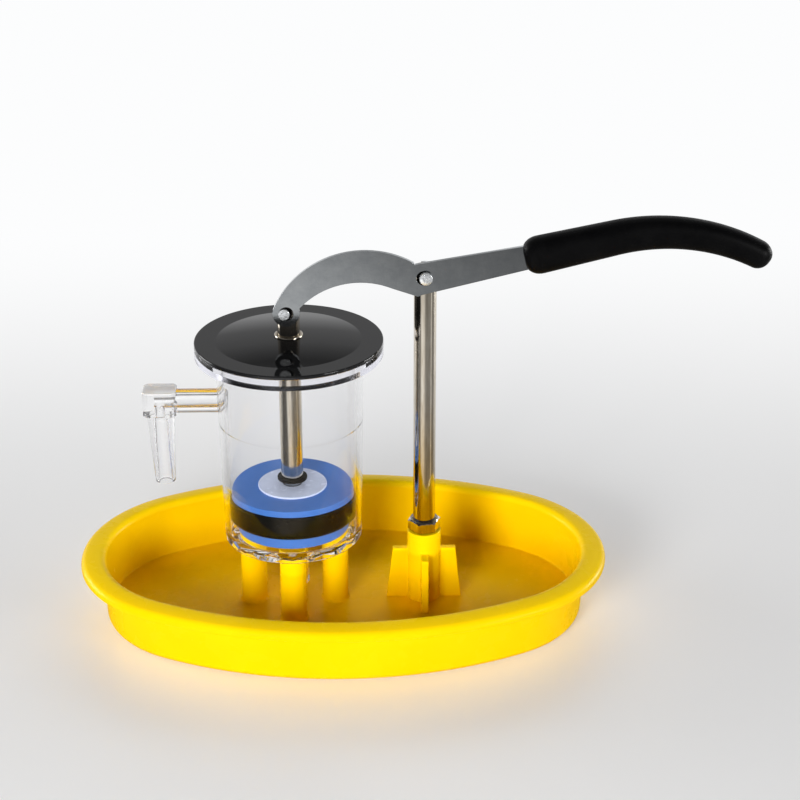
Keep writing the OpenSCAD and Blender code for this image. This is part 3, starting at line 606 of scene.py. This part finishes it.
def barrel():
    base_z, floor_z, low_z = 39.5, 43.5, 128.1
    hub_z, hub_r, seat_r, valve_r, well_top = 35.5, 8.5, 6.0, 4.5, 42.3
    bore_r = 28.65
    groove_in, groove_out, groove_top = 24.6, 29.9, base_z + 1.9
    outline = rounded(
        [
            # The hub under the base, and the groove round it
            (seat_r, hub_z, 0.1), (hub_r, hub_z, 0.4), (hub_r, base_z, 0.5), (groove_in, base_z, 0),
            (26.6, groove_top, 0), (28.4, base_z + 1.5, 0), (groove_out, base_z, 0),
            # The outside, and the flange
            (31.15, base_z, 0.6), (32.9, low_z, 0.8),
            (FLANGE_R, low_z, 0.35), (FLANGE_R, FLANGE_TOP, 0.25), (29.6, FLANGE_TOP, 0.1),
            # The bore, a little wider in its upper half
            (29.09, 96.3, 0.2), (29.01, 95.7, 0.2), (bore_r, 66.0, 0), (bore_r, floor_z, 1.0),
            # The foot valve's opening
            (valve_r, floor_z, 0.15), (valve_r, well_top, 0.1), (seat_r, well_top, 0.1),
        ],
        4,
    )
    bm = bmesh.new()
    turned(bm, outline, 256, at(CYL_X))
    # The moulded groove under the base is uneven, and glitters through the wall
    corners = 40
    jolt = [(rng.uniform(-1.1, 1.1), rng.uniform(-1.2, 0.9)) for _ in range(corners)]
    for v in bm.verts:
        r = math.hypot(v.co.x - CYL_X, v.co.y)
        if groove_in + 0.4 < r < groove_out - 0.4 and base_z + 0.3 < v.co.z < groove_top + 0.3:
            turn = math.atan2(v.co.y, v.co.x - CYL_X) / (2 * math.pi) * corners
            i = math.floor(turn)
            t = turn - i
            here, beyond = jolt[i % corners], jolt[(i + 1) % corners]
            dr, dz = (h * (1 - t) + b * t for h, b in zip(here, beyond))
            v.co.x = CYL_X + (v.co.x - CYL_X) * (1 + dr / r)
            v.co.y *= 1 + dr / r
            v.co.z += dz
    obj = finish_mesh("clear_cylinder", bm, "clear_plastic", "base", ("cylinder_barrel",), 40)
    for face in obj.data.polygons:
        c = face.center / MM
        if groove_in + 0.1 < math.hypot(c.x - CYL_X, c.y) < groove_out + 0.1 and c.z < base_z + 3:
            face.use_smooth = False


def inlet():
    """The nozzle under the base, thinner where it is let into the hub."""
    low, high = span("inlet_nozzle")
    bore_r, tube_r, neck_r, neck_z = 4.0, 6.8, 5.9, 35.45
    outline = rounded(
        [
            (bore_r, low, 0.2), (tube_r, low, 0.4), (tube_r, neck_z, 0.2),
            (neck_r, neck_z, 0), (neck_r, high, 0.1), (bore_r, high, 0.1),
        ],
        3,
    )
    lathe("inlet_tube", outline, 96, at(CYL_X), "clear_plastic", "base", ("inlet_nozzle",), 40)


def lid():
    bore_r, collar_in, collar_r, collar_low = 6.0, 27.1, 29.05, FLANGE_TOP - 3
    under, lying = DOME_TOP - 1.5, FLANGE_TOP + 0.02
    # The raised middle falls off as a shallow bowl upside down, down to the flat ring
    dome_r, steps = 32.0, 14
    bowl = [dome_r - (dome_r - bore_r) * k / steps for k in range(1, steps)]
    outline = rounded(
        [
            (bore_r, under, 0.1), (19, under, 1), (collar_in, FLANGE_TOP + 0.5, 0.1),
            (collar_in, collar_low, 0.2), (collar_r, collar_low, 0.3), (collar_r, lying, 0.1),
            (FLANGE_R - 0.05, lying, 0.12), (FLANGE_R, LID_TOP, 0.45), (dome_r, LID_TOP, 1.2),
        ]
        + [(r, LID_TOP + (DOME_TOP - LID_TOP) * (1 - (r / dome_r) ** 2), 0) for r in bowl]
        + [(bore_r, DOME_TOP - 0.07, 0)],
        6,
    )
    lathe("lid_disc", outline, 256, at(CYL_X), "black_gloss", "base", ("lid",), 40)


def bush():
    """The rod's guide, with a collar that lies on the lid."""
    low, top = span("lid_bush")
    bore_r, tube_r, collar_r, collar_z = 5.2, 5.9, 6.3, DOME_TOP + 0.02
    outline = rounded(
        [
            (bore_r, low, 0.15), (tube_r, low, 0.15), (tube_r, collar_z, 0),
            (collar_r, collar_z, 0.05), (collar_r, top, 0.45), (bore_r, top, 0.3),
        ],
        5,
    )
    lathe("lid_eyelet", outline, 128, at(CYL_X), "nickel", "base", ("lid_bush",))


# ---------------------------------------------------------------- spout


def draft(bm):
    """A mesh drawn in millimetres, as an object that only serves to shape another."""
    bmesh.ops.remove_doubles(bm, verts=bm.verts, dist=WELD)
    bmesh.ops.recalc_face_normals(bm, faces=bm.faces)
    mesh = bpy.data.meshes.new("draft")
    bm.to_mesh(mesh)
    bm.free()
    obj = bpy.data.objects.new("draft", mesh)
    bpy.context.scene.collection.objects.link(obj)
    return obj


def elbow_block(x_mid, z_mid):
    """A block whose upright edges are cut off, and all its edges rounded."""
    half_len, half_wid, half_h, cut = 7.4, 6.1, 5.8, 1.8
    plan = [
        (half_len, half_wid - cut), (half_len - cut, half_wid),
        (cut - half_len, half_wid), (-half_len, half_wid - cut),
        (-half_len, cut - half_wid), (cut - half_len, -half_wid),
        (half_len - cut, -half_wid), (half_len, cut - half_wid),
    ]
    bm = bmesh.new()
    face = bm.faces.new([bm.verts.new((x_mid + x, y, z_mid - half_h)) for x, y in plan])
    for part in bmesh.ops.extrude_face_region(bm, geom=[face])["geom"]:
        if isinstance(part, bmesh.types.BMVert):
            part.co.z = z_mid + half_h
    bmesh.ops.recalc_face_normals(bm, faces=bm.faces)
    bmesh.ops.bevel(bm, geom=bm.edges[:], offset=0.35, segments=3, profile=0.5, affect="EDGES")
    return bm


def spout():
    """The pipe, the elbow block and the nozzle are cemented into one clear piece."""
    z = 105.7
    pipe_end = span("spout_pipe", "x")[1]
    low, high = span("spout_nozzle")
    elbow_x = CYL_X - 57.8
    neck, lean = high - 1.5, 0.7
    pipe_r, collar_r, tip_r, bore_r, tip_bore_r = 5.4, 6.7, 4.5, 2.3, 2.9
    along = at(0, 0, z) @ Matrix.Rotation(math.radians(90), 4, "Y")

    def level(outline, segments):
        bm = bmesh.new()
        turned(bm, outline, segments, along)
        return draft(bm)

    def leaning(outline, segments):
        """A form under the elbow that leans a little towards the cylinder."""
        bm = bmesh.new()
        turned(bm, outline, segments)
        for v in bm.verts:
            v.co.x += elbow_x + lean * (neck - v.co.z) / (neck - low)
        return draft(bm)

    body = draft(elbow_block(elbow_x, z))
    root = pipe_end + 0.5
    pipe = rounded([(0, elbow_x, 0), (pipe_r, elbow_x, 0), (pipe_r, root, 0.9), (0, root, 0)], 4)
    nozzle = rounded(
        [
            (0, low, 0), (tip_r, low, 0.7), (6.15, neck - 1.5, 0.3),
            (collar_r, neck - 1.3, 0.25), (collar_r, neck + 0.5, 0), (0, neck + 0.5, 0),
        ],
        4,
    )
    left, right = elbow_x - bore_r, pipe_end + 2
    pipe_bore = [(0, left), (bore_r, left), (bore_r, right), (0, right)]
    nozzle_bore = [(0, low - 2), (tip_bore_r, low - 2), (bore_r, z), (0, z)]
    others = (
        (level(pipe, 96), "UNION"),
        (leaning(nozzle, 96), "UNION"),
        (level(pipe_bore, 64), "DIFFERENCE"),
        (leaning(nozzle_bore, 64), "DIFFERENCE"),
    )
    for other, operation in others:
        step = body.modifiers.new("shape", "BOOLEAN")
        step.object, step.operation, step.solver = other, operation, "EXACT"
    evaluated = body.evaluated_get(bpy.context.evaluated_depsgraph_get())
    bm = bmesh.new()
    bm.from_mesh(bpy.data.meshes.new_from_object(evaluated))
    # The boolean leaves a few slits open along the bore
    bmesh.ops.remove_doubles(bm, verts=bm.verts, dist=WELD)
    bmesh.ops.holes_fill(bm, edges=[e for e in bm.edges if e.is_boundary], sides=4)
    for obj in (body, *(other for other, _ in others)):
        bpy.data.objects.remove(obj)
    nodes = ("spout_pipe", "spout_elbow", "spout_nozzle")
    finish_mesh("spout", bm, "clear_cemented", "base", nodes, 30, "clear_plastic")


# ---------------------------------------------------------------- piston


def piston():
    axis = at(CYL_X)
    rod_r = 5
    low, high = span("piston_rod")
    outline = rounded([(0, low, 0), (rod_r, low, 0.3), (rod_r, high, 0.6), (0, high, 0)], 4)
    lathe("rod", outline, 128, axis, "nickel", "piston", ("piston_rod",))

    low, high = span("valve_stop_washer")
    outline = disc_outline(3.1, 6.7, low + 0.02, high - 0.02, 0.3)
    lathe("stop_washer", outline, 96, axis, "black_rubber", "piston", ("valve_stop_washer",))

    low, high = span("piston_valve_disc")
    outline = disc_outline(4.2, 15.5, low + 0.01, high, 0.3)
    lathe("flap_disc", outline, 160, axis, "valve_film", "piston_valve", ("piston_valve_disc",))

    refined("piston_top_plate", "piston_upper_disc", "blue_plastic", 0.45, 4)
    refined("piston_lower_plate", "piston_lower_disc", "blue_plastic", 0.4, 3)

    # The seal's lower edge is drawn in
    low, high = span("piston_seal")
    low, high = low + 0.01, high - 0.01
    inner, lip, outer = 20, 27.6, 28.4
    outline = rounded(
        [
            (inner, low, 0.2), (lip, low, 0.5), (outer, low + 1.59, 0.8),
            (outer, high, 0.7), (inner, high, 0.2),
        ],
        5,
    )
    lathe("seal_ring", outline, 256, axis, "black_rubber", "piston", ("piston_seal",))


def rod_pin():
    """The pin through the rod's end. Its local height runs towards the camera."""
    rear, front = (-y for y in reversed(span("rod_pin", "y")))
    place = at(middle("rod_pin", "x"), 0, middle("rod_pin", "z")) @ FACING_CAMERA
    pin_r, head_r, head_t = 1.95, 2.55, 0.55
    outline = rounded(
        [
            (0, rear, 0), (pin_r, rear, 0.2), (pin_r, front - head_t, 0),
            (head_r, front - head_t, 0.1), (head_r, front - 0.1, 0.25),
            (1.2, front, 1.0), (0, front, 0),
        ],
        4,
    )
    pin = ("bright_zinc", "piston", ("rod_pin",))
    lathe("rod_pivot_pin", outline, 64, place, *pin, slot="zinc_steel")
    # A thin black washer between the rod and the lever: painted shade round the pin
    washer = disc_outline(pin_r + 0.02, 3.6, 4.95, 5.35, 0.1)
    lathe("pin_shade_ring", washer, 48, place, "black_rubber", "piston")


# ---------------------------------------------------------------- column


def hexagon(flat, height, hole, place, steps=12):
    """A hexagonal nut whose corners are turned off at 30 degrees."""
    slope = math.radians(30)
    inner, edge = flat / 2, 0.35
    corner = inner / math.cos(slope)
    deep = (corner - inner) * math.tan(slope) + edge
    n = 6 * steps
    sides = [
        inner / math.cos(2 * math.pi * k / n % (math.pi / 3) - math.pi / 6) for k in range(n)
    ]
    depths = [0, deep * 0.34, deep * 0.67, deep]
    bm = bmesh.new()
    rings = []
    for z in depths + [height - depth for depth in reversed(depths)]:
        reach = corner - max(0, deep - min(z, height - z)) / math.tan(slope)
        radii = [min(side, max(reach, inner - edge)) for side in sides]
        rings.append(ring(bm, radii, z, place))
    for z, r in ((height, hole + edge), (height - edge, hole), (edge, hole), (0, hole + edge)):
        rings.append(ring(bm, [r] * n, z, place))
    skin(bm, rings + rings[:1])
    return bm


def column():
    axis = at(COLUMN_X)
    bore_r, tube_r = 3.8, 5.0
    low, high = span("column_tube")
    tube = disc_outline(bore_r, tube_r, low, high - 1.2, 0.3)
    lathe("column", tube, 160, axis, "nickel", "base", ("column_tube",))
    plug = disc_outline(0, bore_r - 0.02, high - 5.0, high - 1.1, 0.3)
    lathe("column_plug", plug, 64, axis, "black_rubber", "base")

    refined("column_socket", "finned_socket", "yellow_plastic", 0.45, 3)

    low, high = span("column_lock_nut")
    turn = Matrix.Rotation(math.radians(8.8), 4, "Z")
    bm = hexagon(13.2, high - low, 5.1, at(COLUMN_X, 0, low) @ turn)
    # The nut takes the warmer nickel finish: a painted yellow reflection of the basin
    finish_mesh("lock_nut", bm, "nickel", "base", ("column_lock_nut",), 25, "zinc_steel")


def pivot():
    """The lever's screw and its nut. Their local heights run towards the camera."""
    z = middle("column_pivot_screw", "z")
    head, rear = (-y for y in span("column_pivot_screw", "y"))
    end = rear + 1.0
    shank_r, head_r, head_t = 2.0, 2.9, 1.8
    outline = rounded(
        [
            (0, end, 0), (shank_r, end, 0.3), (shank_r, head - head_t, 0.1),
            (head_r, head - head_t, 0.15), (head_r, head - 0.3, 0.45),
            (1.6, head, 1.5), (0, head, 0),
        ],
        5,
    )
    screw = ("bright_zinc", "base", ("column_pivot_screw",))
    lathe("pivot_screw", outline, 64, at(COLUMN_X, 0, z) @ FACING_CAMERA, *screw, slot="zinc_steel")

    nut_t = 2.0
    y = span("column_pivot_nut", "y")[0] + nut_t
    bm = hexagon(5.2, nut_t, 2.05, at(COLUMN_X, y, z) @ FACING_CAMERA)
    finish_mesh("pivot_nut", bm, "bright_zinc", "base", ("column_pivot_nut",), 25, "zinc_steel")


# ---------------------------------------------------------------- lever

# Points of the lever are (x, z), in its plane
LEVER_Y = -6.5
PIVOT = Vector((COLUMN_X, 165.5))
SLOPE = math.radians(12.85)
ALONG = Vector((math.cos(SLOPE), math.sin(SLOPE)))
ACROSS = Vector((-math.sin(SLOPE), math.cos(SLOPE)))
# The grip is straight at first, and then bends down
GRIP_STRAIGHT, GRIP_BEND_R, GRIP_TURN = 39.5, 90.0, math.radians(44.3)
GRIP_LEN = GRIP_STRAIGHT + GRIP_BEND_R * GRIP_TURN
GRIP_START = PIVOT + 43.2 * ALONG + Vector((0, -1.2))


def grip_at(s):
    """Centre and slope of the grip at the distance s along it."""
    if s < GRIP_STRAIGHT:
        return GRIP_START + s * ALONG, SLOPE
    a = SLOPE - (s - GRIP_STRAIGHT) / GRIP_BEND_R
    centre = GRIP_START + GRIP_STRAIGHT * ALONG - GRIP_BEND_R * ACROSS
    return centre + GRIP_BEND_R * Vector((-math.sin(a), math.cos(a))), a


def grip_girth(s, nose, tail):
    """How full the grip is at the distance s: it is drawn in at both ends."""
    if s < nose:
        return 0.36 + 0.64 * math.sqrt(max(0, 1 - (1 - s / nose) ** 2))
    if s > GRIP_LEN - tail:
        return max(0.14, math.sqrt(max(0, 1 - ((s - GRIP_LEN + tail) / tail) ** 2)))
    return 1.0


def grip():
    nose, tail, rings, sides = 7.0, 6.0, 110, 56
    height, width, height_taper, width_taper = 16.6, 13.2, 4.8, 1.8
    # Between an ellipse and a rounded box
    squareness = 2 / 2.6
    quarter = [math.radians(9 * i) for i in range(11)]
    stations = (
        [nose * (1 - math.cos(a)) for a in quarter[:10]]
        + [nose + (GRIP_LEN - nose - tail) * i / rings for i in range(rings)]
        + [GRIP_LEN - tail * (1 - math.sin(a)) for a in quarter]
    )
    bm = bmesh.new()
    loops = []
    for s in stations:
        c, a = grip_at(min(s, GRIP_LEN))
        t, girth = s / GRIP_LEN, grip_girth(s, nose, tail)
        h, w = (height - height_taper * t) / 2 * girth, (width - width_taper * t) / 2 * girth
        loop = []
        for j in range(sides):
            up, aside = (wave(2 * math.pi * j / sides) for wave in (math.cos, math.sin))
            n = math.copysign(abs(up) ** squareness, up) * h
            y = math.copysign(abs(aside) ** squareness, aside) * w
            loop.append(bm.verts.new((c.x - n * math.sin(a), LEVER_Y + y, c.y + n * math.cos(a))))
        loops.append(loop)
    skin(bm, loops)
    bm.faces.new(loops[0])
    bm.faces.new(list(reversed(loops[-1])))
    finish_mesh("grip", bm, "grip_black", "lever", ("lever_grip",), 60)


def lever():
    """The blade's pivot hole is drawn wider on one side, where the black washer behind it shows as
    a dark crescent: painted shade in the hole.
    """
    blade = refined("lever_plate", "lever_blade", "zinc_steel", 0.06, 1)
    shaded_hole_centre, shaded_hole_r, hole_r = PIVOT + Vector((-0.9, -0.1)), 3.2, 2.6
    for v in blade.data.vertices:
        off = Vector((v.co.x, v.co.z)) / MM - PIVOT
        if off.length < hole_r:
            new = shaded_hole_centre + off.normalized() * shaded_hole_r
            v.co.x, v.co.z = new.x * MM, new.y * MM


basin()
posts()
barrel()
inlet()
lid()
bush()
spout()
piston()
rod_pin()
column()
pivot()
lever()
grip()

# These CAD nodes keep their shape and take a finish of their own
KEPT = {
    "post_screws": "bright_zinc",
    "column_base_nut": "bright_zinc",
    "column_base_washer": "bright_zinc",
    "foot_valve_disc": "valve_film",
    "rod_stud": "zinc_steel",
    "valve_spacer": "zinc_steel",
    "piston_washer": "bright_zinc",
    "piston_nut": "bright_zinc",
    "column_pivot_washer": "black_rubber",
}
for node, surface in KEPT.items():
    for material_slot in NODES[node].material_slots:
        material_slot.material = SURFACES[surface]

# ---------------------------------------------------------------- stage, light and camera

# Painted reflections: how bright bare metal shows the table in front of the pump, by bearing in
# degrees: a lit stretch left of the middle, and a bright strip far to the right
PAINTED_ROOM = (
    (-90, 0.10), (-62, 0.10), (-50, 0.20), (-43, 0.55), (-36, 0.98), (-20, 0.98),
    (-15, 0.95), (-11, 0.92), (-5, 0.78), (0, 0.47), (7, 0.36), (12, 0.30),
    (50, 0.28), (60, 0.40), (63, 0.85), (66, 0.85), (70, 0.32), (90, 0.24),
)


def emission(m, colour, strength):
    n = m.node("ShaderNodeEmission")
    m.feed(colour, n.inputs["Color"])
    m.feed(strength, n.inputs["Strength"])
    return n.outputs["Emission"]


def pale_table(m, rays, y):
    """The table's look: pale towards the backdrop, and far from the pump on every side."""
    m.colour(m.noise(160, 2), (0.84, 0.84, 0.845), (0.86, 0.86, 0.865))
    backdrop = m.value(y, 0.16, 1, (-0.02, 0.52), smooth=True)
    outskirts = m.value(m.length(m.coords), 0, 1, (0.42, 1.0), smooth=True)
    pale = m.math("MAXIMUM", backdrop, outskirts)
    seen = rays["Is Camera Ray"]
    for ray in ("Is Glossy Ray", "Is Transmission Ray"):
        seen = m.math("MAXIMUM", seen, rays[ray])
    glow = emission(m, (0.975, 0.98, 0.985, 1), 1)
    return m.mix_shaders(m.math("MULTIPLY", seen, pale), m.shader.outputs["BSDF"], glow)


def painted_room_reflection(m, x, y):
    """Painted reflections: what bare metal shows of the room, by bearing from the column."""
    aside = m.math("SUBTRACT", x, COLUMN_X * MM)
    ahead = m.math("MULTIPLY", y, -1)
    quarter = math.pi / 2
    turn = m.value(m.math("ARCTAN2", aside, ahead), 0, 1, (-quarter, quarter))
    lit = m.grey_ramp(turn, [((bearing + 90) / 180, grey) for bearing, grey in PAINTED_ROOM])
    dimmed = m.math("MULTIPLY", lit, m.value(y, 0.35, 1, (-0.62, -0.30)))
    # Near the basin the painted reflection is yellow, a painted glow of the basin's light
    off_basin = m.value(m.from_axis(COLUMN_X), 0, 1, (0.09, 0.24))
    tint = m.ramp(off_basin, [(0, (0.85, 0.58, 0.16)), (1, (1, 1, 1))])
    return emission(m, tint, dimmed)


def stage():
    reach = 6.0
    corners = [(-reach, -reach, 0), (reach, -reach, 0), (reach, reach, 0), (-reach, reach, 0)]
    mesh = bpy.data.meshes.new("table")
    mesh.from_pydata(corners, [], [(0, 1, 2, 3)])
    table = bpy.data.objects.new("table", mesh)
    bpy.context.scene.collection.objects.link(table)
    m = Mat("table_white", Roughness=0.34, Specular_IOR_Level=0.5)
    rays = m.node("ShaderNodeLightPath").outputs
    place = m.parts(m.coords)
    x, y = place["X"], place["Y"]
    # In front of the pump, gloss sees painted reflections instead of the table
    in_front = m.value(y, 1, 0, (0, 0.15))
    mirrored = m.math("MULTIPLY", in_front, rays["Is Glossy Ray"])
    look = m.mix_shaders(mirrored, pale_table(m, rays, y), painted_room_reflection(m, x, y))
    m.link(look, m.out.inputs["Surface"])
    mesh.materials.append(m.mat)


def softbox(
    name, azimuth, elevation, distance, size, level, colour=(1, 1, 1), glossy=True, diffuse=True
):
    """An area lamp aimed at the pump. Azimuth 0 is the camera's side, positive to the right.

    The level is what the lamp adds to a white surface that faces it. Gloss shows the lamp only
    where glossy is true, and other surfaces are lit by it only where diffuse is.
    """
    light = bpy.data.lights.new(name, "AREA")
    light.shape = "RECTANGLE"
    light.size, light.size_y = size
    light.energy = level * (math.pi * distance) ** 2
    light.color = colour
    lamp = bpy.data.objects.new(name, light)
    a, e = math.radians(azimuth), math.radians(elevation)
    target = Vector((0, 0, 0.08))
    away = Vector((math.sin(a) * math.cos(e), -math.cos(a) * math.cos(e), math.sin(e)))
    lamp.location = target + away * distance
    lamp.rotation_mode = "QUATERNION"
    lamp.rotation_quaternion = away.to_track_quat("Z", "Y")
    lamp.visible_glossy = glossy
    lamp.visible_diffuse = diffuse
    lamp.visible_transmission = False
    bpy.context.scene.collection.objects.link(lamp)


def lamps():
    front = {"azimuth": -22, "elevation": 14, "distance": 1.25, "size": (0.45, 0.42)}
    softbox("front_left", **front, level=1.21, colour=(1.0, 0.99, 0.97), glossy=False)
    # What gloss shows of that lamp is dimmer, or it would burn out in the lever
    softbox("front_glint", **front, level=0.12, diffuse=False)
    softbox("front_right", azimuth=50, elevation=6, distance=1.3, size=(0.4, 0.3), level=0.36)
    softbox("side_left", azimuth=-112, elevation=9, distance=1.3, size=(0.6, 0.4), level=0.42)
    softbox("side_right", azimuth=112, elevation=5, distance=1.3, size=(0.6, 0.25), level=0.42)
    softbox(
        "back", azimuth=172, elevation=32, distance=1.25, size=(1.0, 0.4), level=0.32, glossy=False
    )


def world():
    """A dim room, lighter behind the pump, where the backdrop is."""
    studio = bpy.data.worlds.new("studio")
    bpy.context.scene.world = studio
    studio.use_nodes = True
    w = Nodes(studio.node_tree)
    direction = w.parts(w.node("ShaderNodeTexCoord").outputs["Generated"])
    heights = (
        (0.0, 1.0), (0.20, 0.92), (0.33, 0.45), (0.44, 0.41), (0.56, 0.16), (0.75, 0.36), (1.0, 0.5)
    )
    by_height = w.grey_ramp(direction["Z"], heights)
    behind = w.value(direction["Y"], 0.15, 1, (-0.2, 0.6), smooth=True)
    room = w.math("MULTIPLY", by_height, behind)
    # The room lights the pump half as much as it shows in metal. Seen itself, it is plain and pale
    rays = w.node("ShaderNodeLightPath").outputs
    strength = w.mix(rays["Is Glossy Ray"], w.math("MULTIPLY", room, 0.5), room)
    strength = w.mix(rays["Is Transmission Ray"], strength, by_height)
    strength = w.mix(rays["Is Camera Ray"], strength, 0.97)
    background = w.tree.nodes["Background"]
    background.inputs["Color"].default_value = (1, 1, 1.01, 1)
    w.link(strength, background.inputs["Strength"])


def camera():
    """The camera that was fitted to the photograph: its focal length in pixels, place and axes."""
    focal, frame_width, sensor = 1927.17, 800, 36
    place = Vector((7.616, -780.4, 459.852)) * MM
    right = Vector((0.99972, -0.02383, -0.00085))
    up = Vector((0.01064, 0.41389, 0.91027))
    back = Vector((-0.02134, -0.91002, 0.41402))
    data = bpy.data.cameras.new("camera")
    data.sensor_width = sensor
    data.lens = focal / frame_width * sensor
    obj = bpy.data.objects.new("camera", data)
    turn = Matrix((right, up, back)).transposed().to_4x4()
    obj.matrix_world = Matrix.Translation(place) @ turn
    bpy.context.scene.collection.objects.link(obj)
    bpy.context.scene.camera = obj


stage()
world()
lamps()
camera()
bpy.context.scene.view_settings.view_transform = "Standard"
# Light is turned back many times inside the clear flange and base
cycles = bpy.context.scene.cycles
cycles.max_bounces, cycles.glossy_bounces, cycles.transmission_bounces = 28, 16, 28
cycles.sample_clamp_indirect = 3
cycles.caustics_reflective = False
